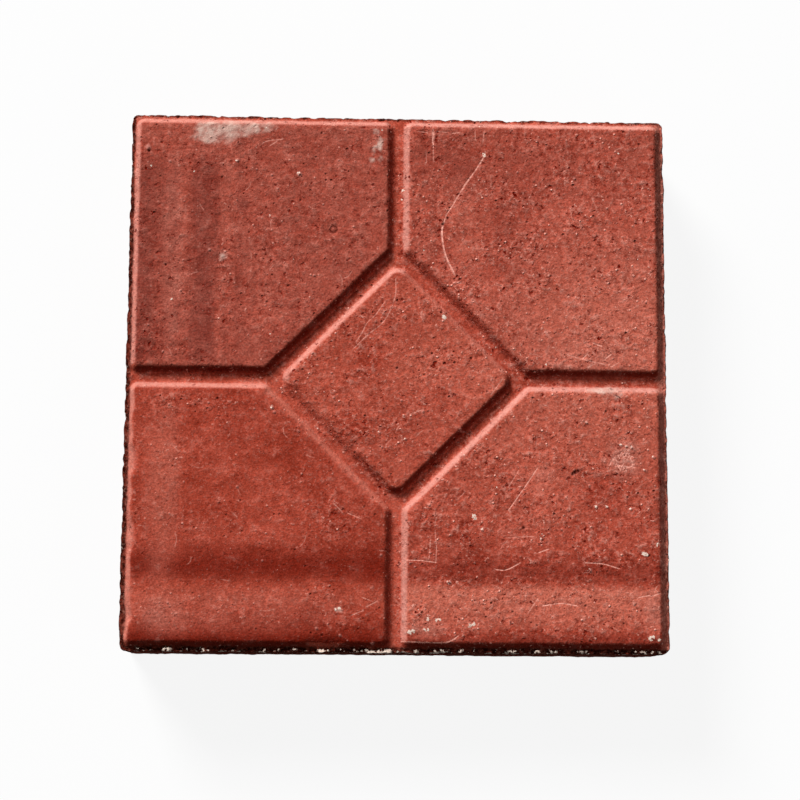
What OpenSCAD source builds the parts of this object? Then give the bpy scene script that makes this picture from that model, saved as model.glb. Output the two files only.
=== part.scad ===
// Square concrete paving stone. Five raised pads with sloped edges stand on one slab:
// a central diamond and four corner pads, parted by grooves of even width.
// Millimetres. The stone rests on z = 0, centred on the z axis, with its pads up.

/* [Stone] */
// Side of the square stone
stone_w = 250; // [200:1:300]
// Thickness from the base to the top of the pads
stone_t = 50; // [40:1:80]
// Radius of the four upright corners
corner_r = 4; // [1:0.5:8]

/* [Grooves] */
// Groove width between the top edges of two pads
groove_w = 10; // [8:0.5:14]
// Depth of the grooves below the top of the pads
groove_depth = 4; // [2:0.5:7]
// Width of the low rim that runs round the outside of the pads
rim_w = 1.9; // [1:0.1:4]

/* [Pads] */
// Side of the central diamond, at its top edges
diamond_side = 73; // [50:1:90]
// Width of a pad's sloped edge, seen from above
bevel_w = 3.1; // [2:0.1:3.5]
// Corner radius of the four corner pads, at their top edges
pad_corner_r = 1.5; // [1:0.1:4]
// Corner radius of the diamond, at its top edges
diamond_corner_r = 4; // [1:0.5:10]
// Rounding between a pad's flat top and its sloped edge
shoulder_r = 0.8; // [0.2:0.1:1.5]

/* [Hidden] */
floor_z = stone_t - groove_depth;
// How deep a pad's foot is set into the slab
pad_sink = 2;
// Half the width that the tops of the pads cover
pads_half = stone_w / 2 - rim_w - bevel_w;
// Distance from the centre to the diamond's sharp corners, and to the lines of the cut corners
diamond_reach = diamond_side / sqrt(2);
cut_reach = diamond_reach + groove_w * sqrt(2);
bevel_angle = atan2(groove_depth, bevel_w);
shoulder_segments = 4;
post_fn = 32;

function unit(v) = v / norm(v);

// Normal of the edge from a to b, on the left of its direction
function left_normal(a, b) = let (along = unit(b - a)) [-along[1], along[0]];

// Centres of the arcs that round the corners of a counter-clockwise outline
function arc_centres(outline, radius) = [
    for (i = [0 : len(outline) - 1])
        let (
            count = len(outline),
            before = left_normal(outline[(i + count - 1) % count], outline[i]),
            after = left_normal(outline[i], outline[(i + 1) % count])
        )
        outline[i] + radius * (before + after) / (1 + before * after)
];

// Half section of a pad's corner: flat top, round shoulder, slope and foot
module post(plan_r) {
    shoulder_start = plan_r - shoulder_r * tan(bevel_angle / 2);
    shoulder = [
        for (step = [0 : shoulder_segments])
            let (turn = bevel_angle * step / shoulder_segments)
            [shoulder_start + shoulder_r * sin(turn), stone_t - shoulder_r * (1 - cos(turn))]
    ];
    foot_r = plan_r + bevel_w;
    rotate_extrude($fn = post_fn)
        polygon(concat(
            [[0, stone_t]],
            shoulder,
            [[foot_r, floor_z], [foot_r, floor_z - pad_sink], [0, floor_z - pad_sink]]
        ));
}

module pad(outline, plan_r) {
    hull()
        for (centre = arc_centres(outline, plan_r))
            translate([centre[0], centre[1], 0])
                post(plan_r);
}

module slab() {
    core_w = stone_w - 2 * corner_r;
    corner_at = core_w / 2;
    linear_extrude(height = floor_z)
        union() {
            square([stone_w, core_w], center = true);
            square([core_w, stone_w], center = true);
            for (x = [-corner_at, corner_at], y = [-corner_at, corner_at])
                translate([x, y])
                    circle(r = corner_r, $fn = 64);
        }
}

module corner_pads() {
    near = groove_w / 2;
    cut = cut_reach - near;
    outline = [[cut, near], [pads_half, near], [pads_half, pads_half], [near, pads_half], [near, cut]];
    for (quarter = [0 : 3])
        rotate([0, 0, 90 * quarter])
            pad(outline, pad_corner_r);
}

module diamond_pad() {
    reach = diamond_reach;
    pad([[reach, 0], [0, reach], [-reach, 0], [0, -reach]], diamond_corner_r);
}

module paving_stone() {
    color("indianred")
        union() {
            slab();
            corner_pads();
            diamond_pad();
        }
}

paving_stone();
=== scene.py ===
"""Red concrete paving stone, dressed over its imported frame.

One dense mesh stands for the plain solid. It has the same pads, grooves and walls, with the pits,
grains, scratches and crumbled edges of cast concrete. Lengths are in millimetres until the mesh is made.
"""

import math
import random
from types import SimpleNamespace

import bmesh
import bpy
import numpy as np
from mathutils import Matrix, Vector, kdtree, noise
from mathutils.geometry import delaunay_2d_cdt


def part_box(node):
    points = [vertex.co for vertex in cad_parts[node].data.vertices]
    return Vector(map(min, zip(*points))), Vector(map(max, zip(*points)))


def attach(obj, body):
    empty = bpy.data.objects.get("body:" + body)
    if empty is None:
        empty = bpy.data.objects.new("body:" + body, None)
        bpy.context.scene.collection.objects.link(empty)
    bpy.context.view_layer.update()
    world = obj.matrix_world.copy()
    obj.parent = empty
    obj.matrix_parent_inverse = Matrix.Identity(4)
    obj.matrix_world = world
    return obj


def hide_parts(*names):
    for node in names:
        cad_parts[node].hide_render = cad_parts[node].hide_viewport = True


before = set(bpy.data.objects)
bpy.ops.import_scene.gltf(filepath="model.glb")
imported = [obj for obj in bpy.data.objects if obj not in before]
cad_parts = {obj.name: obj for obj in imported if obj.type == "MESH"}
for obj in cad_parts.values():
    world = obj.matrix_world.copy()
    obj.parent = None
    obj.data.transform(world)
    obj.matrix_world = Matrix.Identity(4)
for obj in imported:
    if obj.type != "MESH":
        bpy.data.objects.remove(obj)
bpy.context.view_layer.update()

# Sizes of the stone
MM = 0.001
NODE = "paving_stone"
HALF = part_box(NODE)[1].x / MM
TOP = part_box(NODE)[1].z / MM
CORNER_R = 4.0
GROOVE_W = 10.0
GROOVE_DEPTH = 4.0
RIM_W = 1.9
DIAMOND_SIDE = 73.0
BEVEL_W = 3.1
PAD_CORNER_R = 1.5
DIAMOND_CORNER_R = 4.0
FLOOR = TOP - GROOVE_DEPTH
PADS_HALF = HALF - RIM_W - BEVEL_W
# How far the rough face lies under the highest grains
FACE_SINK = 0.6
# Rounding of a slope's shoulder and foot, and what wear adds to the shoulder
SHOULDER_BLEND = 1.2
FOOT_BLEND = 1.2
WORN_BLEND = 3.5
# Height of the mortar crumbs on the edge
CRUMB_HEIGHT = 1.7
# Heights of grains and specks and depth of pits, as shares of their radius
GRAIN_HEIGHT = 0.65
SPECK_HEIGHT = 0.2
PIT_DEPTH = 0.7
# Depth of a scratch, and half its width
SCRATCH_DEPTH = 0.08
SCRATCH_W = 0.36
# Mean height of the underside's roughness
UNDERSIDE_ROUGH = 0.25

# Smooth waves, each as its height, its size and its seed
PAD_EDGE_WAVES = ((0.16, 7, 11), (0.08, 2.2, 12))
FACE_WAVES = ((0.08, 14, 13), (0.05, 3.6, 14))
BAND_WAVES = ((1.6, 16, 17), (1.0, 5, 18))
DIRT_WAVES = ((0.5, 2.2, 19), (0.5, 9, 24))
CHIP_WAVES = ((1.0, 4.5, 1), (0.6, 1.9, 2))
WALL_WAVES = ((0.3, 9, 4), (0.3, 3.2, 5), (0.15, 1.5, 6))
WALL_CRUMB_WAVES = ((1.0, 2.8, 25), (0.5, 1.2, 26))
COARSE_CRUMB_WAVES = ((0.75, 3.1, 21),)
FINE_CRUMB_WAVES = ((0.75, 1.2, 22),)
FINE_STREAK_WAVES = ((0.3, 2.6, 20),)
CHIPPED_SIDE_WAVES = ((1.7, 9, 27),)

# Direction of the key light, counter-clockwise from +X: slopes that face it get pale wear as a painted
# highlight, those turned away stay dark with painted shade
KEY_LIGHT_SIDE = 122.0

# Spacing of the mesh's points
EDGE_STEP = 1.0
RING_STEP = 0.95
FACE_STEP = 1.45
UNDERSIDE_STEP = 9.0
LINE_STEP = 0.8
# Rings of points: distances inside the stone's edge, and outside a pad's top edge
EDGE_INSETS = (1.0, 1.7, 2.4)
RING_DISTANCES = (-0.8, -0.35, 0.0, 0.35, 0.9, 1.6, 2.3, 2.9, 3.5, 4.2)
# Heights of the rows of points on the wall, as shares of the way down
WALL_ROWS = (0.0, 0.012, 0.03, 0.06, *np.linspace(0.1, 0.94, 20), 0.975, 1.0)
# Least distance of new points from those already there
EDGE_RING_GAP = 0.45
MARK_GAP = 0.12
SCRATCH_GAP = 0.2
PAD_RING_GAP = 0.3
FACE_GAP = 0.85
# Width along the stone's edge that has no points but its own
EDGE_CLEAR = 0.9

# Marks on the top face, as x and y from the middle of the stone
SCRATCHES = (
    ((40, 106), (35.5, 98.6), (31, 92.3), (26.5, 84.2), (22, 77)),
    ((21.6, 75.5), (20.5, 69), (22, 59), (26, 50)),
    ((21, 74), (20.1, 69), (21.5, 58.8), (25.5, 49.8)),
    ((64, -41), (60, -47), (51, -60)),
    ((45.5, -87), (50, -87), (56, -84)),
    ((65, -79), (69, -77.5)),
    ((86, -83.5), (94, -84), (101, -86)),
    ((5, -83), (12, -83.2), (18, -84)),
    ((3, -119.5), (20, -120), (25, -119), (28, -117)),
    ((67, -103), (75, -102), (82, -103)),
    ((94, 16.5), (91, 17.5)),
    ((98.5, 12.5), (96.5, 11)),
    ((87.5, 12.5), (85.5, 10.5)),
    ((110, -99), (115, -98)),
    ((15.6, 117.5), (15.8, 112)),
    ((16.1, 118), (16.2, 110.5)),
    ((115.5, -98.5), (120, -97)),
)
# Fainter scratches and drips
FAINT_SCRATCHES = (
    ((39.4, 104.4), (35, 97.4), (30.6, 91)),
    ((30.6, 90.6), (27.2, 86), (24.6, 81)),
    ((48, 0), (43, -7)),
    ((-20, -108), (-15, -106)),
    ((79, 12), (86, 10), (95, 8)),
    ((117, -96.5), (118.2, -94)),
    ((55.5, -42), (51.5, -48.5)),
    ((-1, 47), (-1, 40), (-3, 33), (-7, 26), (-13, 21), (-20, 14)),
    ((-6, 36), (-10, 30), (-14, 26), (-16, 22), (-19, 17)),
    ((39.8, 117), (39.4, 112.5)),
    ((35.7, 117.5), (35.8, 114.5)),
    ((101.6, 8.5), (99, 7)),
    ((91, 8), (88, 6.5)),
    ((-13, -104), (-9, -102)),
    ((-15, -100), (-11, -101.5)),
    ((-22, -62), (-17, -64)),
    ((-28, -58), (-25, -61)),
    ((50.5, -72.5), (57, -72), (62, -71.8)),
    ((60, -106), (64, -100)),
    ((8, -15.5), (12, -14)),
    ((18, -84), (18.2, -77), (17.6, -70)),
    ((15, -81), (15.5, -74)),
    ((-63, 111), (-60, 112), (-55, 112.5)),
    ((-60, 109.5), (-57, 111.5)),
    ((16.1, 110.5), (16.2, 104)),
    ((16.6, 117.5), (16.7, 113)),
    ((10, 117.4), (13, 117)),
    ((18.5, 117.6), (22, 117.2)),
    ((25, 116.8), (28, 117.2)),
    ((12.8, 107), (13, 103)),
)
# A dried splash: x, y, the least and the greatest start of its strokes, and how many it has
SPLASH = (104, -36.5, 1.8, 4.8, 24)
# Short faint strokes all over the face: how many, and their least and greatest length
RANDOM_STROKES = 60
STROKE_LENGTHS = (1.5, 4.5)
# Strength of the scratches, the fainter ones, the splash and the short strokes
LINE_SHARES = (1, 0.55, 0.85, 0.34)
# Pits, white specks and raised grains that show singly: x, y and radius
PITS = (
    (58, -68, 1.1), (28, -85, 0.7), (111, -105, 0.7), (0, 5, 0.9), (34, 10, 0.8), (16, 12, 0.7),
    (-2, 20, 0.6), (8, 42, 0.7), (-23, 0, 0.6), (-6, -14, 0.6), (-19, -34, 0.8), (-82, 94, 0.7),
    (-116, 106, 0.8), (-121, 82, 0.6), (-69, 68, 0.7), (-107, 52, 0.8), (-58, 48, 0.7), (-36, 116, 0.7),
    (21, 73, 0.9), (23, 76, 0.9), (10, 4, 0.6), (26, 13, 0.6), (-82, -10, 0.9), (-92, -13, 0.6),
    (-108, -9, 0.6), (-38, -116, 0.7), (-33, -117, 0.8), (85.8, -103, 0.7),
)
# Deep holes: three pits that run together, and one beside a chip
DEEP_PITS = ((80.4, -43.1, 0.9), (81.6, -42.3, 1.2), (82.9, -41.7, 1.0), (20.2, 31.4, 0.9))
# A round grain that sits loose in a socket, whose gap is painted dark as shade
SOCKETS = ((-30, 70, 1.7),)
SPECKS = (
    (6.2, -115.4, 1.1), (7.8, -114.7, 1.0), (13.2, -114.2, 0.8), (14.6, -114, 0.7), (18.2, -110, 0.8),
    (19.8, -109.7, 0.7), (14.4, -109.4, 0.9), (33.6, -112, 1.0), (35.2, -111.6, 1.0), (35.2, -62.6, 1.0),
    (35.8, -63.8, 0.8), (21.4, 29, 1.2), (112.6, -79.2, 1.1), (114, -79.8, 0.9), (119, -75, 0.9),
    (115, -117.4, 1.1), (116.2, -116.8, 0.9), (119, -118, 0.8), (-27, -105.4, 0.7), (-25.4, -105, 0.7),
    (-115, 99, 0.5), (-104, 36, 0.6), (2.2, 90, 0.8), (1.8, 85.5, 0.7), (40, 106.6, 0.9),
)
GRAINS = (
    (-116.5, 108, 1.5), (2, -10, 0.8), (-29, -9, 0.7), (37, 14, 0.7), (-56, 89, 0.7), (12, -15, 0.8),
    (-18, 4, 0.8), (29, -23, 0.8), (-56, -16, 0.9), (-66, 98, 0.6), (-28, 103, 0.6), (-100, 40, 0.7),
    (-35.5, -114, 0.8), (-25, -117, 0.8), (-30.5, -112, 0.6), (-86, -12, 0.7), (-104, -13, 0.6),
)
# Grains with a painted highlight on their lit upper left side, and how far that highlight lies off their
# middle
GLINTING_GRAINS = (
    (-75, 102, 1.0), (-46, 96, 1.3), (24, -93, 1.1), (88, -87, 0.9), (-57, -14, 1.0), (39, -69, 0.9),
    (91, -58, 1.0), (96, -58, 0.8), (107, -59, 0.8), (117.7, -35, 0.9), (113.3, -41, 0.8),
    (102.6, -29.5, 0.8), (105.2, -30, 0.9), (107.7, -30.6, 0.8), (87, -19.4, 0.8), (-8, -25, 0.7),
    (4, -28, 0.7), (-36, -23, 0.7), (66, -73, 0.7),
)
GLINT_SHIFT = (0.25, -0.25)
RANDOM_SEED = 11
# Marks scattered at random: how many, and their least and greatest radius
RANDOM_PITS = (150, 0.25, 0.7)
RANDOM_SPECKS = (24, 0.22, 0.5)
RANDOM_GRAINS = (150, 0.35, 0.85)
WALL_PITS = (170, 0.9, 2.2)
# Least gap between scattered marks, and how far the wall's pits keep from its top and its base
SCATTER_GAP = 0.6
WALL_PIT_MARGIN = 4
# Share of the random marks that the smooth pad, the left lower one, goes without
SMOOTH_PAD_SHARE = 0.65
# Strength of the painted shade in the deep, the single and the scattered pits of the face, and in those of
# the wall
PIT_SHADE_SHARES = (1.0, 0.75, 0.55)
WALL_PIT_SHADE = 0.6
# Stretches of a pad's edge that are worn round: x, y and reach
WORN_EDGES = (
    (-45, -5, 9), (-37, -13, 9), (-30, -21, 9), (-23, -28, 8), (-122, -72, 10), (-32, -118, 10),
    (-56, -10, 7), (-48, -18, 8), (-40, -26, 8), (-31, -35, 8), (-22, -44, 8), (-13, -52, 7),
    (-122, -38, 8), (-122, -104, 9),
)
# The chipped left edge of the left lower pad: where along x and along y it starts and is full
CHIPPED_X = (-110, -119)
CHIPPED_Y = (10, -35)
# Ragged pale deposits of lime: x, y, half width, half height and strength
DEPOSITS = (
    (-88.5, 115.5, 9, 7.5, 1.25), (-79, 116.5, 11, 6.5, 1.2), (-70, 117.5, 10, 5, 1.1),
    (-62, 118.5, 8, 3.5, 0.8), (96, -4, 10, 2.6, 1.2), (99, -6, 6, 3.5, 0.8), (105.5, 16.5, 4, 3, 0.6),
    (104, -36, 7, 8, 0.5), (-81, 56, 2.8, 2.5, 1.1), (-10.5, 116.5, 2.6, 1.7, 1.2),
    (-8.6, 111, 1.6, 5.5, 1.3), (-11.5, 108, 1.4, 3, 1.0), (-8.2, 104, 1.5, 3, 1.1),
    (-12.4, 103, 2.4, 1.4, 1.1), (-26, -105.6, 2.6, 2.2, 0.75),
)
# Soft patches of dust: x, y, half width, half height and strength
DUST_PATCHES = (
    (-11, 112, 2, 9, 0.45), (104, -36, 10, 11, 0.55), (117, -105, 5, 9, 0.5), (14, -114, 10, 5, 0.4),
    (-104, 58, 7, 66, 0.5), (86, 10, 26, 9, 0.45), (67, -43, 6, 5, 0.4), (-80, 104, 22, 14, 0.35),
    (28, 86, 11, 20, 0.3), (-106, -50, 9, 50, 0.22), (14, 110, 5, 9, 0.25), (19, 117, 11, 3, 0.45),
    (-104, -108, 13, 10, 0.4), (-70, -106, 50, 10, 0.16),
)
# Dust on the diamond, then on the corner pads from the right upper one round to the right lower one
PAD_DUST = (0.03, 0.22, 0.28, 0.0, 0.06)
# Roughness of the same pads, where the walls have 1
PAD_ROUGH = (1.15, 1.25, 1.1, 0.6, 1.25)
# Tone of the same pads, and of the grooves, as shares lighter or darker
PAD_TONES = (0.11, -0.14, -0.24, -0.1, 0.09)
FLOOR_TONE = 0.1
# Patches that are rougher: x, y, half width, half height and added roughness
ROUGH_PATCHES = (
    (-92, -11, 26, 5, 0.8), (-28, -106, 16, 14, 0.6), (-28, -66, 16, 16, 0.5), (-22, -22, 10, 8, 0.3),
    (-112, 14, 14, 12, 0.4),
)
# Patches of another tone: x, y, half width, half height and share lighter or darker
TONE_PATCHES = (
    (-72, 81, 3.5, 3, -0.5), (-22, -22, 10, 8, -0.2), (8, 5, 16, 12, 0.12), (97, -52, 13, 11, -0.24),
    (-40, -108, 14, 8, -0.1), (60, 100, 20, 14, -0.1), (14, 108, 16, 16, -0.2), (32, 74, 14, 16, 0.15),
    (-12, 10, 9, 7, -0.2), (14, -8, 12, 9, -0.12), (65, -46, 11, 9, 0.15), (30, -74, 14, 12, -0.15),
    (95, -70, 22, 8, -0.12), (52, -30, 14, 9, 0.12), (-60, 30, 12, 12, 0.1), (-105, -50, 10, 48, 0.24),
    (30, 100, 8, 9, -0.22), (46, 74, 7, 12, -0.18), (33, 60, 8, 8, 0.14), (48, 52, 8, 8, -0.12),
    (105, -12, 12, 8, -0.2), (12, -69, 8, 10, -0.15), (70, -61, 12, 6, 0.1), (111, -66, 9, 8, -0.12),
)
# A paler part at the right: x, y, half width, half height and tone
PALE_SIDE = (105, 22, 68, 50, 0.6)
# Shares of a patch at which it ends and at which it is full
LIME_FADE = (1.25, 0.3)
DUST_FADE = (1.3, 0.4)
ROUGH_FADE = (1.2, 0.4)
TONE_FADE = (1.3, 0.2)
# Width of the dirty edge: left from front to back, right from front to middle, then front and back
DIRT_LEFT = (3.4, 2.3)
DIRT_RIGHT = (0.7, 0.3)
DIRT_FRONT = 2.9
DIRT_BACK = 0.9
# Half the width of its soft border
DIRT_SOFT = 0.4
# Painted light and shade of shallow valleys and ridges across the lower pads, from front to back, as shares
# lighter or darker
BAND_Y = (-120, -117.5, -115, -112, -107, -102, -99, -96.5, -94, -91, -88.5, -86, -83, -80.5, -78, -74)
BAND_SHADING_LEFT = (
    -0.45, -0.4, -0.2, -0.1, 0.07, 0.22, 0.2, 0.18, 0, -0.27, -0.38, -0.41, -0.35, -0.27, -0.22, 0,
)
BAND_SHADING_RIGHT = (-0.45, -0.4, -0.1, 0.2, 0.36, 0.5, 0.6, 0.5, 0, -0.3, -0.42, -0.4, -0.25, -0.2, -0.07, 0)
# Painted light and shade of shallow ridges at the left of the upper left pad, along x
STREAK_X = (-120, -116, -112, -106, -101, -98, -94.5, -91, -88, -84, -80, -77, -73, -69)
STREAK_SHADING = (-0.5, -0.42, -0.22, -0.12, -0.02, -0.05, -0.28, -0.46, -0.44, -0.16, 0.1, 0, -0.14, 0)
# Strength of the streaks, where they start and end along y, and their right-hand limit
STREAK_SHARE = 0.9
STREAK_FOOT = (2, 12)
STREAK_HEAD = (112, 96)
STREAK_LIMIT = -60
# Fine streaks among them: where along x they start and are full, and the scale that draws them along y
FINE_STREAK_X = (-60, -85)
FINE_STREAK_SCALE = (1, 0.05, 1)
# Pale wear painted as a highlight on the slopes that face the key light: its share along x, and how much
# less of it the chipped edge has
SLOPE_HIGHLIGHT_X = (-60, 40)
SLOPE_HIGHLIGHT_SHARE = (0.75, 1)
CHIPPED_HIGHLIGHT = 0.45
# Painted highlight of the slopes towards the key light, wear of a grain, painted shade of the groove floor,
# and painted light on the shaded right edge, laid as pale dust
SLOPE_HIGHLIGHT = 0.34
GRAIN_WEAR = 0.6
FLOOR_SHADE = 0.06
RIGHT_EDGE_LIGHT = 0.8
# Distance outside a pad's top edge up to which its own tone and dust reach
PAD_REACH = 0.3
# Mortar crumbs: the scale that draws coarse ones out upwards, and the level where they start and are full
CRUMB_SCALE = (1, 1, 0.4)
CRUMB_LEVEL = (0.15, 0.4)
# Where along the front they are thickest, how wide that is, what it adds, and what is taken off everywhere
CRUMB_X = 12
CRUMB_WIDTH = 48
CRUMB_MORE = 0.32
CRUMB_LESS = 0.05
# Where they end and are full: in from the front and the right edge, along the right edge, down the wall
CRUMB_FRONT = (2.6, 1.6)
CRUMB_RIGHT = (2.2, 1.2)
CRUMB_RIGHT_Y = -85
CRUMB_RIGHT_REACH = (12, 8)
CRUMB_DOWN = (7.5, 2)
# Marks that each point of the mesh carries
MARKS = ("tone", "rough", "wear_and_highlight", "painted_shade", "lime", "dust_and_light", "chalk_and_glint", "scratch", "pit_shade", "dirt_and_shade", "wall")


def linear(*levels):
    """Linear colour of three screen levels from 0 to 255."""
    shares = [level / 255 for level in levels]
    return tuple(s / 12.92 if s <= 0.04045 else ((s + 0.055) / 1.055) ** 2.4 for s in shares)


# Colours of the concrete
RED_DARK = linear(147, 53, 36)
RED_LIGHT = linear(184, 80, 61)
DEEP_RED = linear(110, 26, 14)
# Deep red of the dark grains, also painted as shade in the hollows of the relief
DARK_GRAIN_AND_SHADE_RED = linear(106, 16, 4)
# Painted shade on slopes turned from the key light and on groove floors
PAINTED_SHADE_RED = linear(92, 18, 8)
PALE_RED = linear(196, 101, 81)
PALE_GRAIN = linear(208, 142, 127)
WALL_RED = linear(138, 72, 58)
# Pale wear, painted as a highlight on slopes that face the key light, and the worn tops of grains
WEAR_AND_HIGHLIGHT_PINK = linear(210, 146, 133)
LIME_WHITE = linear(207, 173, 159)
# Dust, also painted as light on the shaded right edge
DUST_AND_LIGHT_PINK = linear(188, 112, 96)
SCRATCH_PINK = linear(250, 177, 159)
# White specks and mortar crumbs, also painted glints on the lit sides of grains
CHALK_AND_GLINT_WHITE = linear(242, 222, 205)
# Dirt of the edge, also painted shade down the whole front wall
DIRT_AND_SHADE_DARK = linear(50, 14, 8)
EDGE_CRUMB = linear(128, 92, 78)
# Painted shade in pits, pores and the gap round the loose grain
PIT_SHADE_DARK = linear(70, 10, 3)
# Tone at which the pigment is wholly the deep or the pale red
FULL_TONE = 0.6
# Noises in the concrete: size, detail and, where it isn't the usual one, roughness
NOISES = {
    "blotch": (38, 4), "cloud": (9, 3), "haze": (8, 4), "lump": (4.5, 2), "crust": (2.6, 3),
    "grain": (1.5, 3), "soil": (1.4, 2), "ragged": (0.9, 2), "fine": (0.8, 1, 0.5),
}
# The same for noises that lie aside from these, and how far aside, in metres
ASIDE_NOISES = {"patchy": (14, 2), "pebble": (3.2, 3, 0.55), "pocket": (2.1, 2, 0.5), "bead": (1.5, 2, 0.5)}
ASIDE = (0.31, 0.17, 0.05)
# Range that most values of a noise lie in
MIDDLE = (0.35, 0.65)
# Sizes of the cells that pores and pale grains lie in
PORE_SIZE = 2.4
PALE_SIZE = 2.1
# Height of the finest relief
BUMP_HEIGHT = 0.6
# Where such a dot ends, and where each kind is full
DOT_EDGE = 0.34
PORE_CORE = 0.06
PALE_CORE = 0.08
# Only cells whose random value lies above these have a pore or a pale grain
PORE_PICK = 0.96
PALE_PICK = 0.955


def rise(value, start, end):
    """Smooth rise from 0 at start to 1 at end."""
    share = np.clip((value - start) / (end - start), 0, 1)
    return share * share * (3 - 2 * share)


def ripple(points, size, seed):
    """Smooth noise from about -1 to 1 at the points, with features of about the given size."""
    shift = Vector((17.3 * seed, 9.1 * seed, 5.7 * seed))
    return np.array([noise.noise(Vector(point) / size + shift) for point in points])


def with_waves(values, points, waves):
    """The values plus smooth waves at the points, each given as its height, its size and its seed."""
    for height, size, seed in waves:
        values = values + height * ripple(points, size, seed)
    return values


def flat(points, height=0.0):
    """Plan points with a third coordinate."""
    return np.c_[points, np.full(len(points), height)]


def edge_normals(centres):
    """Unit outward normals of the edges of a counter-clockwise outline."""
    along = np.roll(centres, -1, axis=0) - centres
    along /= np.linalg.norm(along, axis=1, keepdims=True)
    return np.c_[along[:, 1], -along[:, 0]]


def arc_centres(outline, radius):
    """Centres of the arcs that round the corners of a counter-clockwise outline."""
    outline = np.array(outline, float)
    after = -edge_normals(outline)
    before = np.roll(after, 1, axis=0)
    return outline + radius * (before + after) / (1 + np.sum(before * after, axis=1))[:, None]


def distance_outside(points, centres):
    """Distance of plan points from a convex outline, negative inside."""
    nearest = np.full(len(points), np.inf)
    deepest = np.full(len(points), -np.inf)
    for start, end, normal in zip(centres, np.roll(centres, -1, axis=0), edge_normals(centres)):
        length = np.linalg.norm(end - start)
        along = (end - start) / length
        offset = points - start
        run = np.clip(offset @ along, 0, length)
        nearest = np.minimum(nearest, np.linalg.norm(offset - run[:, None] * along, axis=1))
        deepest = np.maximum(deepest, offset @ normal)
    return np.where(deepest > 0, nearest, deepest)


def ring(centres, radius, step, phase):
    """Points about a step apart, at a radius outside a convex outline with round corners."""
    normals = edge_normals(centres)
    points = []
    for i, start in enumerate(centres):
        end = centres[(i + 1) % len(centres)]
        count = max(1, round(np.linalg.norm(end - start) / step))
        for k in range(count):
            points.append(start + (end - start) * (k + phase) / count + normals[i] * radius)
        first = math.atan2(normals[i][1], normals[i][0])
        next_normal = normals[(i + 1) % len(centres)]
        turn = (math.atan2(next_normal[1], next_normal[0]) - first) % (2 * math.pi)
        count = max(1, round(turn * radius / step))
        for k in range(count):
            angle = first + turn * (k + phase) / count
            points.append(end + radius * np.array((math.cos(angle), math.sin(angle))))
    return np.array(points)


def pads():
    """The five pads, each as its arc centres and its corner radius."""
    reach = DIAMOND_SIDE / math.sqrt(2)
    near = GROOVE_W / 2
    cut = reach + GROOVE_W * math.sqrt(2) - near
    corner = [[cut, near], [PADS_HALF, near], [PADS_HALF, PADS_HALF], [near, PADS_HALF], [near, cut]]
    diamond = [[reach, 0], [0, reach], [-reach, 0], [0, -reach]]
    centres = arc_centres(corner, PAD_CORNER_R)
    made = [(arc_centres(diamond, DIAMOND_CORNER_R), DIAMOND_CORNER_R)]
    for _ in range(4):
        made.append((centres, PAD_CORNER_R))
        centres = np.c_[-centres[:, 1], centres[:, 0]]
    return made


PADS = pads()
STONE_CENTRES = arc_centres([[-HALF, -HALF], [HALF, -HALF], [HALF, HALF], [-HALF, HALF]], CORNER_R)


def pad_distances(points):
    """Distances of plan points outside the top edge of each pad, negative on a pad."""
    return np.array([distance_outside(points, centres) - radius for centres, radius in PADS])


def distance_from_pads(points):
    """Distance of plan points outside the top edge of the nearest pad."""
    return pad_distances(points).min(axis=0)


def nearest_pad(points):
    """Number of the nearest pad to each plan point."""
    return pad_distances(points).argmin(axis=0)


def slope_facing(points):
    """How squarely the slope of the nearest pad faces the key light's side, from -1 to 1."""
    step = 0.05
    along_x = distance_from_pads(points + (step, 0)) - distance_from_pads(points - (step, 0))
    along_y = distance_from_pads(points + (0, step)) - distance_from_pads(points - (0, step))
    lit_side = math.radians(KEY_LIGHT_SIDE)
    return (along_x * math.cos(lit_side) + along_y * math.sin(lit_side)) / (2 * step)


def distance_inside(points):
    """Distance of plan points inside the stone's outline."""
    return CORNER_R - distance_outside(points, STONE_CENTRES)


def smooth_max(a, b, blend):
    """The larger of two heights, with a rounded change from one to the other."""
    return np.maximum(a, b) + np.maximum(blend - np.abs(a - b), 0) ** 2 / (4 * blend)


def section(distance, worn):
    """Height above the groove floor at a distance outside a pad's top edge, rounder where it is worn."""
    slope = (BEVEL_W - distance) * GROOVE_DEPTH / BEVEL_W
    raised = smooth_max(slope, 0.0, FOOT_BLEND)
    return -smooth_max(-raised, -GROOVE_DEPTH, SHOULDER_BLEND + WORN_BLEND * worn)


def smooth_line(knots):
    """Points along a smooth line through the knots."""
    knots = np.array(knots, float)
    ends = np.r_[[2 * knots[0] - knots[1]], knots, [2 * knots[-1] - knots[-2]]]
    points = []
    for a, b, c, d in zip(ends, ends[1:], ends[2:], ends[3:]):
        count = max(1, round(np.linalg.norm(c - b) / LINE_STEP))
        bend = a - 2.5 * b + 2 * c - d / 2
        swing = 1.5 * (b - c) + (d - a) / 2
        for t in np.arange(count) / count:
            points.append(b + t * (c - a) / 2 + t * t * bend + t**3 * swing)
    return np.array([*points, knots[-1]])


def scatter(count, smallest, largest):
    """Random round marks on the top face, apart from each other and from those already there."""
    marks = []
    reach = HALF - RIM_W
    while len(marks) < count:
        x, y = rng.uniform(-reach, reach), rng.uniform(-reach, reach)
        radius = smallest + (largest - smallest) * rng.random() ** 2
        if x < 0 and y < 0 and rng.random() < SMOOTH_PAD_SHARE:
            continue
        if all((x - a) ** 2 + (y - b) ** 2 > (radius + r + SCATTER_GAP) ** 2 for a, b, r in taken_marks):
            marks.append((x, y, radius))
            taken_marks.append((x, y, radius))
    return marks


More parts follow.
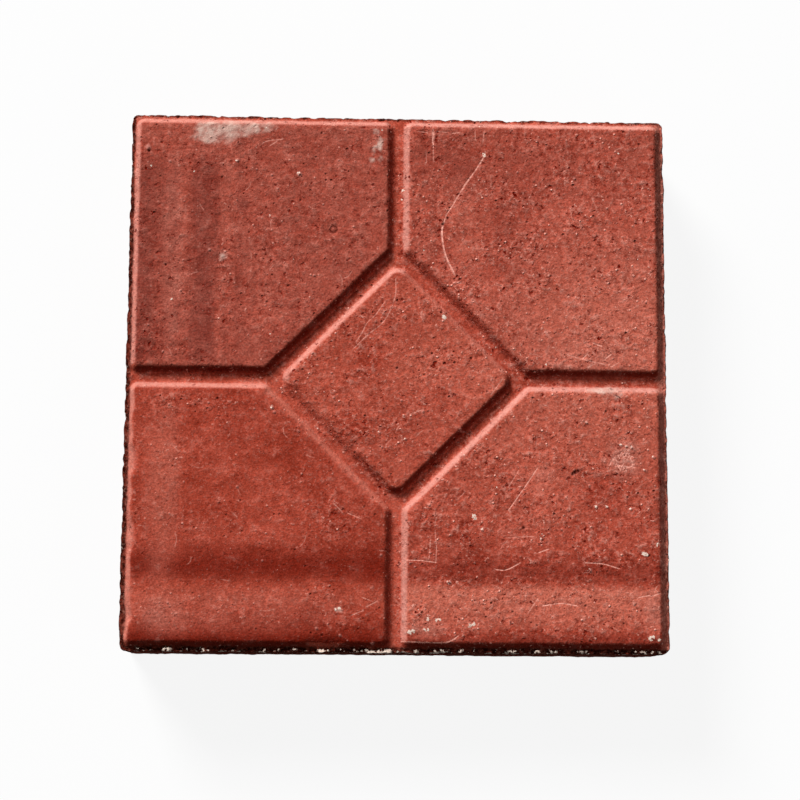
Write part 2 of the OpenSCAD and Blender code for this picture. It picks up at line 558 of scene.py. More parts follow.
rng = random.Random(RANDOM_SEED)
taken_marks = [*PITS, *DEEP_PITS, *SOCKETS, *SPECKS, *GRAINS, *GLINTING_GRAINS]
SMALL_PITS = scatter(*RANDOM_PITS)
ALL_PITS = [*PITS, *DEEP_PITS, *SMALL_PITS]
ALL_SPECKS = [*SPECKS, *scatter(*RANDOM_SPECKS)]
ALL_GRAINS = [*GRAINS, *GLINTING_GRAINS, *scatter(*RANDOM_GRAINS)]


def random_stroke():
    """A short, slightly bent stroke somewhere on the top face."""
    reach = PADS_HALF - 2
    middle = np.array((rng.uniform(-reach, reach), rng.uniform(-reach, reach)))
    angle = rng.uniform(0, math.pi)
    half = rng.uniform(*STROKE_LENGTHS) / 2 * np.array((math.cos(angle), math.sin(angle)))
    bend = 0.3 * rng.uniform(-1, 1) * np.array((-half[1], half[0]))
    return middle - half, middle + bend, middle + half


def rosette(x, y, inner, outer, count):
    """Short strokes that point away from a middle, as a dried splash leaves them."""
    strokes = []
    for k in range(count):
        angle = 2 * math.pi * (k + rng.uniform(-0.3, 0.3)) / count
        start = rng.uniform(inner, outer)
        turns = (angle, angle + rng.uniform(-0.3, 0.3), angle + rng.uniform(-0.5, 0.5))
        reaches = (start, start + rng.uniform(0.4, 0.8), start + rng.uniform(1.0, 1.8))
        strokes.append([(x + r * math.cos(a), y + r * math.sin(a)) for a, r in zip(turns, reaches)])
    return strokes


SPLASH_STROKES = rosette(*SPLASH)
SHORT_STROKES = [random_stroke() for _ in range(RANDOM_STROKES)]
LINE_KINDS = (SCRATCHES, FAINT_SCRATCHES, SPLASH_STROKES, SHORT_STROKES)
LINES = [[smooth_line(knots) for knots in kind] for kind in LINE_KINDS]


def mark_points(x, y, radius):
    """Points that draw one round mark."""
    points = [(x, y)]
    for share, count in ((0.55, 5), (1.0, 8), (1.45, 9)):
        for k in range(count):
            angle = 2 * math.pi * (k + share) / count
            points.append((x + share * radius * math.cos(angle), y + share * radius * math.sin(angle)))
    return points


def scratch_points(line):
    """Points that draw one scratch: its middle line and a row on each side."""
    along = np.gradient(line, axis=0)
    along /= np.linalg.norm(along, axis=1, keepdims=True)
    across = np.c_[-along[:, 1], along[:, 0]]
    return np.concatenate([line, line + SCRATCH_W * across, line - SCRATCH_W * across])


def face_grid(step):
    """Points of a triangular grid over the square, a little jittered."""
    points = []
    for row, y in enumerate(np.arange(-HALF, HALF, step * math.sqrt(3) / 2)):
        for x in np.arange(-HALF + step * (row % 2) / 2, HALF, step):
            points.append((x + rng.uniform(-0.2, 0.2) * step, y + rng.uniform(-0.2, 0.2) * step))
    return np.array(points)


def nearest_mark(points, marks):
    """For each point, its distance from the nearest mark's middle, over that mark's radius."""
    shares = np.full(len(points), np.inf)
    for *middle, radius in marks:
        shares = np.minimum(shares, np.linalg.norm(points - middle, axis=1) / radius)
    return shares


def mounds(points, marks):
    """Heights of round mounds at the points, each as high as half its width."""
    height = np.zeros(len(points))
    for *middle, radius in marks:
        share = np.linalg.norm(points - middle, axis=1) / radius
        height = np.maximum(height, radius * (1 - share**2))
    return height


def patches(points, spots, fade):
    """For each point, the strongest of soft oval patches."""
    strongest = np.zeros(len(points))
    for x, y, half_w, half_h, strength in spots:
        away = np.hypot((points[:, 0] - x) / half_w, (points[:, 1] - y) / half_h)
        strongest = np.maximum(strongest, strength * rise(away, *fade))
    return strongest


def edge_dirt(points):
    """Dirt along the outer edge of the top face, wider at some sides than at others."""
    x, y = points.T
    rough = with_waves(0, flat(points), DIRT_WAVES)
    left = np.interp(y, (-HALF, HALF), DIRT_LEFT)
    right = np.interp(y, (-HALF, 0), DIRT_RIGHT)
    sides = ((HALF + x, left), (HALF - x, right), (HALF + y, DIRT_FRONT), (HALF - y, DIRT_BACK))
    dirt_and_shade = [rise(inside + rough - width, DIRT_SOFT, -DIRT_SOFT) for inside, width in sides]
    return np.maximum.reduce(dirt_and_shade)


def mortar_crumbs(points):
    """Crumbs of pale mortar on the front edge and on a stretch of the right one, from 0 to 1."""
    x, y, z = points.T
    lumps = with_waves(0, points * CRUMB_SCALE, COARSE_CRUMB_WAVES)
    lumps = with_waves(lumps, points, FINE_CRUMB_WAVES)
    lumps += CRUMB_MORE * np.exp(-(((x - CRUMB_X) / CRUMB_WIDTH) ** 2)) - CRUMB_LESS
    front = rise(HALF + y, *CRUMB_FRONT)
    right = rise(HALF - x, *CRUMB_RIGHT) * rise(abs(y - CRUMB_RIGHT_Y), *CRUMB_RIGHT_REACH)
    along = np.minimum(front + right, 1)
    return rise(lumps, *CRUMB_LEVEL) * along * rise(FLOOR - z, *CRUMB_DOWN)


def thinned(kept, extra, gap):
    """The kept points with those extra ones that lie further than the gap from all of them."""
    tree = kdtree.KDTree(len(kept))
    for i, point in enumerate(kept):
        tree.insert((*point, 0), i)
    tree.balance()
    far = [point for point in extra if tree.find((*point, 0))[2] > gap]
    return np.concatenate([kept, far]) if far else kept


# Wall of the stone
OUTLINE = ring(STONE_CENTRES, CORNER_R, EDGE_STEP, 0)
INNER = np.clip(OUTLINE, -(HALF - CORNER_R), HALF - CORNER_R)
OUTWARD = (OUTLINE - INNER) / np.linalg.norm(OUTLINE - INNER, axis=1, keepdims=True)


def wall_pits(count, smallest, largest):
    """Random round holes in the wall, left by trapped air: x, y, z and radius."""
    pits = []
    for _ in range(count):
        x, y = rng.choice(OUTLINE)
        z = rng.uniform(WALL_PIT_MARGIN, FLOOR - WALL_PIT_MARGIN)
        pits.append((x, y, z, smallest + (largest - smallest) * rng.random() ** 2))
    return pits


ALL_WALL_PITS = wall_pits(*WALL_PITS)


def wall_grid():
    """Points of the wall, row by row from the crumbled top edge to the base."""
    top_edge = flat(OUTLINE, FLOOR)
    chipped = np.maximum(with_waves(0, top_edge, CHIP_WAVES), 0)
    chipped *= 1 - 0.7 * rise(OUTLINE[:, 0], HALF - 6, HALF - 2)
    edge_z = FLOOR - 0.15 - 0.5 * chipped - 0.25 * (1 + ripple(top_edge, 2.6, 3))
    edge_z += CRUMB_HEIGHT * mortar_crumbs(top_edge)
    rows = []
    for share in WALL_ROWS:
        height = edge_z * (1 - share)
        nominal = np.c_[OUTLINE, height]
        inset = with_waves(0.5, nominal, WALL_WAVES)
        inset += 1.1 * chipped * np.exp(-(edge_z - height) / 1.6)
        inset += 0.7 * rise(share, 0.96, 1.0)
        inset += 0.8 * np.clip(1 - nearest_mark(nominal, ALL_WALL_PITS) ** 2, 0, 1)
        inset = np.maximum(inset, 0.03)
        rows.append(np.c_[OUTLINE - OUTWARD * inset[:, None], height])
    return np.array(rows)


WALL = wall_grid()


def plan_points():
    """Plan points of the top face, dense where its shape changes."""
    points = WALL[0][:, :2]
    edge_count = len(points)
    for inset in EDGE_INSETS:
        phase = (inset * 5) % 1
        points = thinned(points, ring(STONE_CENTRES, CORNER_R - inset, EDGE_STEP, phase), EDGE_RING_GAP)
    round_marks = (*ALL_PITS, *ALL_SPECKS, *ALL_GRAINS, *SOCKETS)
    marks = [point for mark in round_marks for point in mark_points(*mark)]
    points = thinned(points, marks, MARK_GAP)
    for line in sum(LINES, []):
        points = thinned(points, scratch_points(line), SCRATCH_GAP)
    for centres, radius in PADS:
        for number, distance in enumerate(RING_DISTANCES):
            phase = 0.5 * (number % 2)
            points = thinned(points, ring(centres, radius + distance, RING_STEP, phase), PAD_RING_GAP)
    points = thinned(points, face_grid(FACE_STEP), FACE_GAP)
    clear = distance_inside(points[edge_count:]) > EDGE_CLEAR
    return points[np.r_[np.full(edge_count, True), clear]]


def filled(points, loop_count):
    """Triangles between plan points whose first ones form the outline."""
    loop = [(i, (i + 1) % loop_count) for i in range(loop_count)]
    inside_only = 1
    made = delaunay_2d_cdt([Vector(point) for point in points], loop, [], inside_only, 1e-6)
    return np.array([tuple(point) for point in made[0]]), [tuple(face) for face in made[2]]


def nearest_line(points, line):
    """Distance of the points from a line of points."""
    nearest = np.full(len(points), np.inf)
    for start, end in zip(line, line[1:]):
        along = end - start
        share = np.clip((points - start) @ along / (along @ along), 0, 1)
        nearest = np.minimum(nearest, np.linalg.norm(points - start - share[:, None] * along, axis=1))
    return nearest


def scratched(points):
    """How strongly each point is scratched, from 0 to 1."""
    strongest = np.zeros(len(points))
    for lines, share in zip(LINES, LINE_SHARES):
        for line in lines:
            depth = np.clip(1 - nearest_line(points, line) / SCRATCH_W, 0, 1)
            strongest = np.maximum(strongest, share * depth)
    return strongest


def chipped_side(plan):
    """How chipped the left edge of the left lower pad is at each plan point, from 0 to 1."""
    x, y = plan.T
    return rise(x, *CHIPPED_X) * rise(y, *CHIPPED_Y)


def worn_edges(plan):
    """How round the pad's edge is worn at each plan point, from 0 to 1."""
    return rise(nearest_mark(plan, WORN_EDGES), 1.0, 0.6)


def socket_gap(plan):
    """The gap round a grain that sits loose, from 0 to 1."""
    return np.exp(-(((nearest_mark(plan, SOCKETS) - 0.85) / 0.35) ** 2))


def edge_distance(plan):
    """Distance of plan points outside the uneven top edge of the nearest pad."""
    level = flat(plan)
    distance = with_waves(distance_from_pads(plan), level, PAD_EDGE_WAVES)
    return distance + chipped_side(plan) * with_waves(0, level, CHIPPED_SIDE_WAVES)


def top_heights(plan, distance, crumbs, scratch):
    """Heights of the top face: pads, grooves, crumbled edge, grains, pits and scratches."""
    level = flat(plan)
    height = FLOOR + section(distance, worn_edges(plan)) - FACE_SINK
    height = with_waves(height, level, FACE_WAVES)
    lost = 0.3 + 0.5 * ripple(level, 2.4, 15) + 1.2 * np.maximum(ripple(level, 3.1, 16), 0)
    height -= rise(distance_inside(plan), 2.4, 1.3) * lost
    height += CRUMB_HEIGHT * crumbs
    height += GRAIN_HEIGHT * mounds(plan, ALL_GRAINS) + SPECK_HEIGHT * mounds(plan, ALL_SPECKS)
    height -= PIT_DEPTH * mounds(plan, ALL_PITS)
    height += 0.3 * rise(nearest_mark(plan, SOCKETS), 0.8, 0.1) - 0.6 * socket_gap(plan)
    height = np.minimum(height - SCRATCH_DEPTH * scratch, TOP)
    edge_z = {tuple(np.float32(point[:2])): point[2] for point in WALL[0]}
    for i, point in enumerate(np.float32(plan)):
        height[i] = edge_z.get(tuple(point), height[i])
    return height


def top_tone(plan):
    """Tone of the pads: painted light and shade of shallow bands and streaks, and patches, as shares
    lighter or darker.
    """
    x, y = plan.T
    level = flat(plan)
    uneven = with_waves(y, level, BAND_WAVES)
    tone = np.where(x < 0, np.interp(uneven, BAND_Y, BAND_SHADING_LEFT), np.interp(uneven, BAND_Y, BAND_SHADING_RIGHT))
    streaks = np.interp(x, STREAK_X, STREAK_SHADING, right=0)
    fine = with_waves(0, level * FINE_STREAK_SCALE, FINE_STREAK_WAVES)
    streaks += fine * rise(x, *FINE_STREAK_X)
    streaks *= rise(y, *STREAK_FOOT) * rise(y, *STREAK_HEAD) * (x < STREAK_LIMIT)
    tone += STREAK_SHARE * streaks
    tone += np.array(PAD_TONES)[nearest_pad(plan)]
    for *spot, share in TONE_PATCHES:
        tone += share * patches(plan, [(*spot, 1)], TONE_FADE)
    pale_x, pale_y, pale_w, pale_h, pale_tone = PALE_SIDE
    return tone + pale_tone * np.exp(-(((x - pale_x) / pale_w) ** 2) - ((y - pale_y) / pale_h) ** 2)


def pit_shade_marks(plan):
    """How deep in a pit or in the gap of a loose grain each plan point lies, from 0 to 1, as the strength
    of the shade painted there.
    """
    depths = zip((DEEP_PITS, PITS, SMALL_PITS), PIT_SHADE_SHARES)
    pits = [share * np.clip(1.25 - nearest_mark(plan, marks), 0, 1) for marks, share in depths]
    return np.maximum.reduce([*pits, 0.85 * socket_gap(plan)])


def chalk_and_glint_marks(plan, crumbs):
    """White specks, mortar crumbs and painted glints on the lit sides of grains, from 0 to 1."""
    specks = np.clip(1.4 - nearest_mark(plan, ALL_SPECKS), 0, 1)
    painted_glints = np.clip(1.1 - nearest_mark(plan + GLINT_SHIFT, GLINTING_GRAINS), 0, 0.62)
    return np.maximum.reduce([specks, crumbs, painted_glints])


def top_marks(plan, distance, crumbs, scratch):
    """Surface marks of the top face, with painted light and shade on the slopes, the groove floors and the
    right edge.
    """
    x = plan[:, 0]
    on_pad = nearest_pad(plan)
    worn = worn_edges(plan)
    facing = slope_facing(plan)
    slope = rise(distance, -0.5 - 1.6 * worn, 0.5) * rise(distance, 3.0, 1.9)
    # Pale wear laid only on slopes that face the key light: a painted highlight
    wear_and_highlight = slope * rise(facing, 0.1, 0.6) * (1 - CHIPPED_HIGHLIGHT * chipped_side(plan))
    wear_and_highlight *= np.interp(x, SLOPE_HIGHLIGHT_X, SLOPE_HIGHLIGHT_SHARE)
    grain_wear = GRAIN_WEAR * rise(nearest_mark(plan, ALL_GRAINS), 1.2, 0.5)
    pad_tone = np.where(distance < PAD_REACH, top_tone(plan), FLOOR_TONE)
    # The right edge's slope is turned from the key light: it gets painted light as pale dust, and less
    # painted shade
    right_edge = rise(x, PADS_HALF - 0.5, PADS_HALF + 1.5)
    # Painted shade on the groove floors and on slopes turned from the key light
    floor_shade = FLOOR_SHADE * rise(distance, 1.8, 3.0)
    painted_shade = np.maximum(floor_shade, slope * rise(facing, -0.1, -0.8) * (1 - worn))
    pad_dust = np.array(PAD_DUST)[on_pad] * (distance < PAD_REACH)
    dust_and_light = patches(plan, DUST_PATCHES, DUST_FADE)
    return {
        # Painted highlight: slopes that face the key light are lighter
        "tone": pad_tone + SLOPE_HIGHLIGHT * slope * rise(facing, -0.1, 0.2),
        "rough": np.array(PAD_ROUGH)[on_pad] + patches(plan, ROUGH_PATCHES, ROUGH_FADE),
        "wear_and_highlight": np.maximum(wear_and_highlight, grain_wear),
        "painted_shade": painted_shade * (1 - RIGHT_EDGE_LIGHT * right_edge),
        "lime": patches(plan, DEPOSITS, LIME_FADE),
        "dust_and_light": np.maximum.reduce([pad_dust, RIGHT_EDGE_LIGHT * right_edge, dust_and_light]),
        "chalk_and_glint": chalk_and_glint_marks(plan, crumbs),
        "scratch": scratch,
        "pit_shade": pit_shade_marks(plan),
        "dirt_and_shade": edge_dirt(plan),
        "wall": np.zeros(len(plan)),
    }


def dressed_top():
    """The top face: its points with heights, its triangles and its surface marks."""
    plan, triangles = filled(plan_points(), len(OUTLINE))
    distance = edge_distance(plan)
    crumbs = mortar_crumbs(flat(plan, FLOOR))
    scratch = scratched(plan)
    height = top_heights(plan, distance, crumbs, scratch)
    return np.c_[plan, height], triangles, top_marks(plan, distance, crumbs, scratch)


def plain_marks(count):
    """Surface marks of bare cast concrete."""
    marks = {name: np.zeros(count) for name in MARKS}
    marks["rough"] += 1
    marks["wall"] += 1
    return marks


def dressed_wall():
    """The wall's points, faces and surface marks."""
    rows, count = WALL.shape[:2]
    faces = []
    for row in range(rows - 1):
        upper = row * count
        lower = upper + count
        for i in range(count):
            after = (i + 1) % count
            faces.append((lower + i, lower + after, upper + after, upper + i))
    points = WALL.reshape(-1, 3)
    depth = FLOOR - points[:, 2]
    front = rise(HALF + points[:, 1], 3, 1)
    crumbs = 0.3 * rise(with_waves(0, points, WALL_CRUMB_WAVES), 0.1, 0.4) * rise(depth, 4, 1)
    marks = plain_marks(len(points))
    marks["chalk_and_glint"] = np.maximum(crumbs, mortar_crumbs(points))
    marks["pit_shade"] = WALL_PIT_SHADE * np.clip(1.2 - nearest_mark(points, ALL_WALL_PITS), 0, 1)
    # Dirt along the top of every wall; down the front wall, which is turned from the key light, it runs the
    # whole height as painted shade
    marks["dirt_and_shade"] = rise(depth + 2.5 * ripple(points, 7, 23), 9 + 46 * front, 1)
    return points, faces, marks


def dressed_underside():
    """The flat underside, a little rough."""
    loop = WALL[-1][:, :2]
    grid = face_grid(UNDERSIDE_STEP)
    points = thinned(loop, grid[distance_inside(grid) > UNDERSIDE_STEP / 2], UNDERSIDE_STEP / 2)
    plan, triangles = filled(points, len(loop))
    height = UNDERSIDE_ROUGH * (1 + ripple(flat(plan), 12, 31)) * rise(distance_inside(plan), 1.5, 8)
    return np.c_[plan, height], [triangle[::-1] for triangle in triangles], plain_marks(len(plan))


def stone_mesh():
    """One closed mesh of the top, the wall and the underside, with the marks on its points."""
    points, faces = [], []
    marks = {name: [] for name in MARKS}
    for part_points, part_faces, part_marks in (dressed_top(), dressed_wall(), dressed_underside()):
        start = sum(len(p) for p in points)
        points.append(part_points)
        faces += [tuple(start + i for i in face) for face in part_faces]
        for name in MARKS:
            marks[name].append(part_marks[name])
    mesh = bpy.data.meshes.new("paving_stone_face")
    mesh.from_pydata(np.concatenate(points) * MM, [], faces)
    for name, values in marks.items():
        attribute = mesh.attributes.new(name, "FLOAT", "POINT")
        attribute.data.foreach_set("value", np.concatenate(values))
    return mesh


def weld(mesh):
    """Joins the points that the top, the wall and the underside share."""
    shape = bmesh.new()
    shape.from_mesh(mesh)
    bmesh.ops.remove_doubles(shape, verts=shape.verts, dist=0.002 * MM)
    for face in shape.faces:
        face.smooth = True
    shape.to_mesh(mesh)
    shape.free()


def colour(rgb):
    """A colour with its alpha."""
    return (*rgb, 1.0)


class Nodes:
    """Node tree of a material or a world, with short calls that add a node and return its output."""

    def __init__(self, owner):
        owner.use_nodes = True
        self.tree = owner.node_tree
        self.tree.nodes.clear()

    def add(self, kind, inputs=None, output=0, **settings):
        """A node of the given kind, with its inputs and settings."""
        node = self.tree.nodes.new("ShaderNode" + kind)
        for name, value in settings.items():
            setattr(node, name, value)
        for name, value in (inputs or {}).items():
            if isinstance(value, bpy.types.NodeSocket):
                self.tree.links.new(value, node.inputs[name])
            else:
                node.inputs[name].default_value = value
        return node.outputs[output] if node.outputs else None

    def noise(self, where, size, detail=3.0, roughness=0.6):
        """Smooth noise with features of about the given size in millimetres."""
        inputs = {"Vector": where, "Scale": 1 / (size * MM), "Detail": detail, "Roughness": roughness}
        return self.add("TexNoise", inputs)

    def dots(self, where, size, core, channel, least):
        """Soft dots in those cells of about the given size whose random value passes the least one."""
        inputs = {"Vector": where, "Scale": 1 / (size * MM)}
        value = self.add("SeparateColor", {0: self.add("TexVoronoi", inputs, 1)}, channel)
        dot = self.spread(self.add("TexVoronoi", inputs), DOT_EDGE, core)
        return self.product(dot, self.math("GREATER_THAN", value, least))

    def math(self, operation, a, b=0.0):
        """Two values put together."""
        return self.add("Math", {0: a, 1: b}, operation=operation)

    def product(self, first, *others):
        """The values multiplied."""
        for value in others:
            first = self.math("MULTIPLY", first, value)
        return first

    def total(self, first, *others):
        """The values added up."""
        for value in others:
            first = self.math("ADD", first, value)
        return first

    def spread(self, value, low, high, to_low=0.0, to_high=1.0, smooth=True):
        """The value moved from one range to another, and held within it."""
        inputs = {0: value, 1: low, 2: high, 3: to_low, 4: to_high}
        kind = "SMOOTHSTEP" if smooth else "LINEAR"
        return self.add("MapRange", inputs, interpolation_type=kind)

    def mix(self, share, a, b, blend="MIX"):
        """Two colours mixed by a share."""
        inputs = {0: share, 6: a, 7: b}
        return self.add("Mix", inputs, 2, data_type="RGBA", blend_type=blend)

    def coat(self, base, share, rgb):
        """A colour laid over the base by a share."""
        return self.mix(share, base, colour(rgb))

    def mark(self, name):
        """One of the marks kept on the mesh's points."""
        return self.add("Attribute", output=2, attribute_name=name)

    def in_view(self):
        """1 for what the camera sees, directly or mirrored or through glass, and 0 for other light."""
        camera, glossy, transmission = 0, 3, 6
        path = self.add("LightPath", output=camera)
        for ray in (glossy, transmission):
            path = self.math("MAXIMUM", path, self.add("LightPath", output=ray))
        return path


def concrete_textures(n):
    """The noises and marks that the layers of the concrete share."""
    where = n.add("TexCoord", output=3)
    aside = n.add("VectorMath", {0: where, 1: ASIDE}, operation="ADD")
    t = SimpleNamespace()
    for place, noises in ((where, NOISES), (aside, ASIDE_NOISES)):
        for name, shape in noises.items():
            setattr(t, name, n.noise(place, *shape))
    t.rough = n.product(n.mark("rough"), n.spread(t.patchy, *MIDDLE, 0.6, 1.3))
    t.tone = n.mark("tone")
    t.clean = n.spread(t.tone, -0.4, 0.0, 0.2, 1.0)
    t.hollow = n.product(n.spread(t.pocket, 0.4, 0.24), t.rough)
    t.knob = n.product(n.spread(t.bead, 0.62, 0.76), t.rough, t.clean)
    t.pore = n.product(n.dots(where, PORE_SIZE, PORE_CORE, 0, PORE_PICK), t.rough)
    t.pale = n.product(n.dots(where, PALE_SIZE, PALE_CORE, 1, PALE_PICK), t.rough, t.clean)
    return t


def pigment(n, t):
    """The red of the concrete: dark and light blotches, tones with painted light and shade in them, bare
    walls, and a haze of dust that also paints light on the shaded right edge.
    """
    mixture = n.total(n.product(t.blotch, 0.55), n.product(t.cloud, 0.45))
    base = n.mix(n.spread(mixture, 0.32, 0.68), colour(RED_DARK), colour(RED_LIGHT))
    # The tone carries painted light and shade of the bands, the streaks and the slopes facing the key light
    base = n.coat(base, n.spread(t.tone, 0.0, -FULL_TONE, smooth=False), DEEP_RED)
    base = n.coat(base, n.spread(t.tone, 0.0, FULL_TONE, smooth=False), PALE_RED)
    base = n.coat(base, n.product(n.mark("wall"), n.spread(t.cloud, *MIDDLE, 0.5, 1.0)), WALL_RED)
    haze = n.total(n.mark("dust_and_light"), n.spread(t.cloud, 0.5, 0.75, 0.0, 0.05))
    haze = n.product(haze, n.spread(t.haze, *MIDDLE, 0.65, 1.2))
    return n.coat(base, haze, DUST_AND_LIGHT_PINK)


def sanded(n, t, base):
    """The base with dark and pale grains and fine sand."""
    dark = n.total(n.spread(t.grain, 0.5, 0.28, 0.0, 0.34), n.spread(t.pebble, 0.46, 0.3, 0.0, 0.34))
    base = n.coat(base, n.product(dark, t.rough), DARK_GRAIN_AND_SHADE_RED)
    light = n.total(n.spread(t.grain, 0.5, 0.72, 0.0, 0.28), n.spread(t.pebble, 0.52, 0.72, 0.0, 0.3))
    base = n.coat(base, n.product(light, t.clean, t.rough), PALE_GRAIN)
    lumps = n.total(n.product(n.spread(t.lump, 0.3, 0.7, -0.1, 0.1), t.rough), 1.0)
    sand = n.product(lumps, n.spread(t.fine, 0.3, 0.7, 0.82, 1.18))
    return n.mix(1.0, base, sand, "MULTIPLY")


def shaded_and_worn(n, t, base):
    """The base with painted shade on slopes turned from the light, pale wear painted as highlight on slopes
    facing it, hollows and pores painted dark as shade, knobs and pale grains.
    """
    # Painted shade on slopes turned from the key light and on groove floors
    base = n.coat(base, n.product(n.mark("painted_shade"), 0.8), PAINTED_SHADE_RED)
    # Pale wear, painted as a highlight on slopes facing the key light
    base = n.coat(base, n.product(n.mark("wear_and_highlight"), n.spread(t.grain, 0.25, 0.75, 0.5, 0.92)), WEAR_AND_HIGHLIGHT_PINK)
    # Painted shade in the hollows of the relief
    base = n.coat(base, n.product(t.hollow, 0.7), DARK_GRAIN_AND_SHADE_RED)
    base = n.coat(base, n.product(t.knob, 0.45), SCRATCH_PINK)
    base = n.coat(base, n.product(t.pale, 0.85), SCRATCH_PINK)
    # Painted shade in the pores
    return n.coat(base, n.product(t.pore, 0.5), PIT_SHADE_DARK)


def marked(n, t, base):
    """The base with lime, scratches, pits painted dark as shade, the dirty edge with painted shade down the
    front wall, white mortar and painted glints on grains.
    """
    broken = n.total(n.product(t.cloud, 0.45), n.product(t.lump, 0.55))
    lime = n.total(n.mark("lime"), n.spread(broken, 0.34, 0.66, -0.6, 0.3, smooth=False))
    lime = n.product(n.spread(lime, 0.1, 1.25, 0.0, 0.9), n.spread(t.pebble, 0.36, 0.6, 0.55, 1.0))
    base = n.coat(base, lime, LIME_WHITE)
    scratch = n.product(n.mark("scratch"), n.spread(t.grain, 0.34, 0.55, 0.35, 1.0))
    base = n.coat(base, scratch, SCRATCH_PINK)
    # Painted shade in the pits
    base = n.coat(base, n.spread(n.mark("pit_shade"), 0.1, 0.9, 0, 0.9), PIT_SHADE_DARK)
    # Dirt of the edge, with painted shade down the front wall
    crust = n.product(n.mark("dirt_and_shade"), n.spread(t.crust, 0.4, 0.65, 1.0, 0.6))
    crumb = n.spread(t.soil, 0.55, 0.72, 0.0, 0.6)
    base = n.mix(crust, base, n.mix(crumb, colour(DIRT_AND_SHADE_DARK), colour(EDGE_CRUMB)))
    # White mortar and painted glints on grains
    chalk_and_glint = n.total(n.mark("chalk_and_glint"), n.spread(t.ragged, 0.25, 0.75, -0.5, 0.5))
    return n.coat(base, n.spread(chalk_and_glint, 0.4, 0.8, 0, 0.84), CHALK_AND_GLINT_WHITE)


def fine_relief(n, t):
    """Relief too fine for the mesh, as a bump."""
    shares = (
        (t.grain, 0.5), (t.lump, 0.4), (t.fine, 0.16), (n.product(t.pebble, t.rough), 0.9),
        (t.hollow, -0.3), (t.knob, 0.2), (t.pore, -0.8), (t.pale, 0.6),
    )
    relief = n.total(*[n.product(texture, share) for texture, share in shares])
    return n.add("Bump", {"Height": relief, "Strength": 1.0, "Distance": BUMP_HEIGHT * MM})


def concrete():
    """Red pigmented concrete: sandy grain, pores, pale grains, worn edges, lime and dirt, with painted
    light and shade on its slopes, grooves, pits, bands and front wall.
    """
    material = bpy.data.materials.new("red_concrete")
    n = Nodes(material)
    t = concrete_textures(n)
    base = marked(n, t, shaded_and_worn(n, t, sanded(n, t, pigment(n, t))))
    inputs = {
        "Base Color": base,
        "Normal": fine_relief(n, t),
        "Roughness": n.spread(t.grain, 0.3, 0.7, 0.55, 0.8),
        "Specular IOR Level": 0.0,
    }
    n.add("OutputMaterial", {"Surface": n.add("BsdfPrincipled", inputs)})
    return material


def make_stone():
    """The stone: its mesh and its material, in place of the plain solid."""
    mesh = stone_mesh()
    weld(mesh)
    stone = bpy.data.objects.new("paving_stone_body", mesh)
    bpy.context.collection.objects.link(stone)
    mesh.materials.append(concrete())
    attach(stone, "root")
    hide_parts(NODE)


# The floor and the light: half the floor's side in metres, greys, and shares and strengths of light
FLOOR_HALF = 4.0
PAPER_GREY = (0.8, 0.8, 0.8)
BOUNCE_GREY = (0.4, 0.4, 0.4)
WHITE = (1.0, 1.0, 1.0)
GLOW_SHARE = 0.9
SKY_STRENGTH = 0.03
BACKDROP_STRENGTH = 1.0


def floor_white():
    """White to the camera, with a soft shadow; grey to the light that it throws back."""
    material = bpy.data.materials.new("floor_white")
    n = Nodes(material)
    paper = n.add("BsdfDiffuse", {"Color": colour(PAPER_GREY)})
    bounce = n.add("BsdfDiffuse", {"Color": colour(BOUNCE_GREY)})
    glow = n.add("Emission", {"Color": colour(WHITE), "Strength": 1.0})
    seen = n.add("MixShader", {0: GLOW_SHARE, 1: paper, 2: glow})
    n.add("OutputMaterial", {"Surface": n.add("MixShader", {0: n.in_view(), 1: bounce, 2: seen})})
    return material


def make_floor():
    """A plain, pale floor under the stone."""
    half = FLOOR_HALF
    corners = [(-half, -half, 0), (half, -half, 0), (half, half, 0), (-half, half, 0)]
    mesh = bpy.data.meshes.new("floor")
    mesh.from_pydata(corners, [], [(0, 1, 2, 3)])
    floor = bpy.data.objects.new("floor", mesh)
    bpy.context.collection.objects.link(floor)
    mesh.materials.append(floor_white())


def direction(azimuth, elevation):
    """Unit vector towards a place in the sky; azimuth 0 is towards +X, and 90 towards +Y."""
    a, e = math.radians(azimuth), math.radians(elevation)
    return Vector((math.cos(e) * math.cos(a), math.cos(e) * math.sin(a), math.sin(e)))


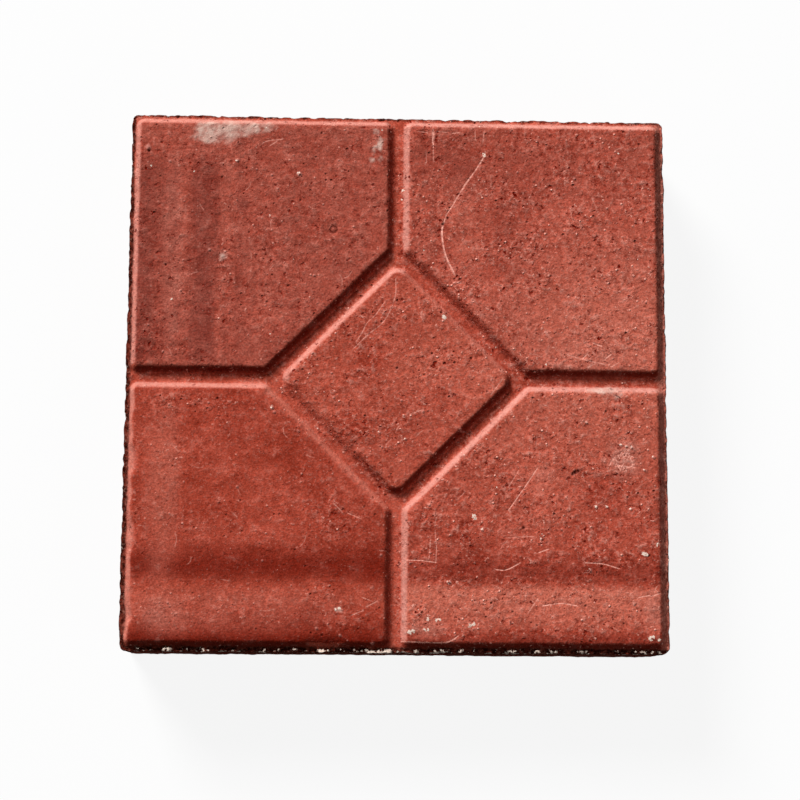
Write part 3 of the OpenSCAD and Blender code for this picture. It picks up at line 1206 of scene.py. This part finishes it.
def make_lamp(name, azimuth, elevation, distance, size, power):
    """A round lamp that shines on the middle of the stone."""
    lamp = bpy.data.lights.new(name, "AREA")
    lamp.shape = "DISK"
    lamp.size = size
    lamp.energy = power
    holder = bpy.data.objects.new(name, lamp)
    bpy.context.collection.objects.link(holder)
    away = direction(azimuth, elevation)
    holder.location = away * distance
    holder.rotation_mode = "QUATERNION"
    holder.rotation_quaternion = away.to_track_quat("Z", "Y")


def make_light():
    """A soft key light from the upper left, a weak fill from the right and a dim, even sky."""
    make_lamp("key_light", azimuth=122, elevation=33, distance=6.0, size=2.4, power=610)
    make_lamp("fill_light", azimuth=-45, elevation=42, distance=0.9, size=0.4, power=1.0)
    world = bpy.data.worlds.new("studio")
    bpy.context.scene.world = world
    n = Nodes(world)
    sky = n.add("Background", {"Color": colour(WHITE), "Strength": SKY_STRENGTH})
    backdrop = n.add("Background", {"Color": colour(WHITE), "Strength": BACKDROP_STRENGTH})
    n.add("OutputWorld", {"Surface": n.add("MixShader", {0: n.in_view(), 1: sky, 2: backdrop})})


# The camera: where it looks on the top face, its angles in degrees, its distance in metres and its lens
CAMERA_TARGET = Vector((1.3, -9.9, TOP)) * MM
CAMERA_AZIMUTH = -12.17
CAMERA_ELEVATION = 80.87
CAMERA_ROLL = 12.68
CAMERA_DISTANCE = 0.9
FRAME_PIXELS = 800
FOCAL_PIXELS = 1968


def make_camera():
    """The camera, turned about its own axis so that the stone lies square in the picture."""
    camera = bpy.data.cameras.new("camera")
    camera.lens = camera.sensor_width * FOCAL_PIXELS / FRAME_PIXELS
    holder = bpy.data.objects.new("camera", camera)
    bpy.context.collection.objects.link(holder)
    back = direction(CAMERA_AZIMUTH - 90, CAMERA_ELEVATION)
    level = direction(CAMERA_AZIMUTH, 0)
    upright = back.cross(level)
    roll = math.radians(CAMERA_ROLL)
    right = math.cos(roll) * level + math.sin(roll) * upright
    up = math.cos(roll) * upright - math.sin(roll) * level
    turned = Matrix((right, up, back)).transposed().to_4x4()
    holder.matrix_world = Matrix.Translation(CAMERA_TARGET + CAMERA_DISTANCE * back) @ turned
    bpy.context.scene.camera = holder


make_stone()
make_floor()
make_light()
make_camera()
bpy.context.scene.view_settings.view_transform = "Standard"
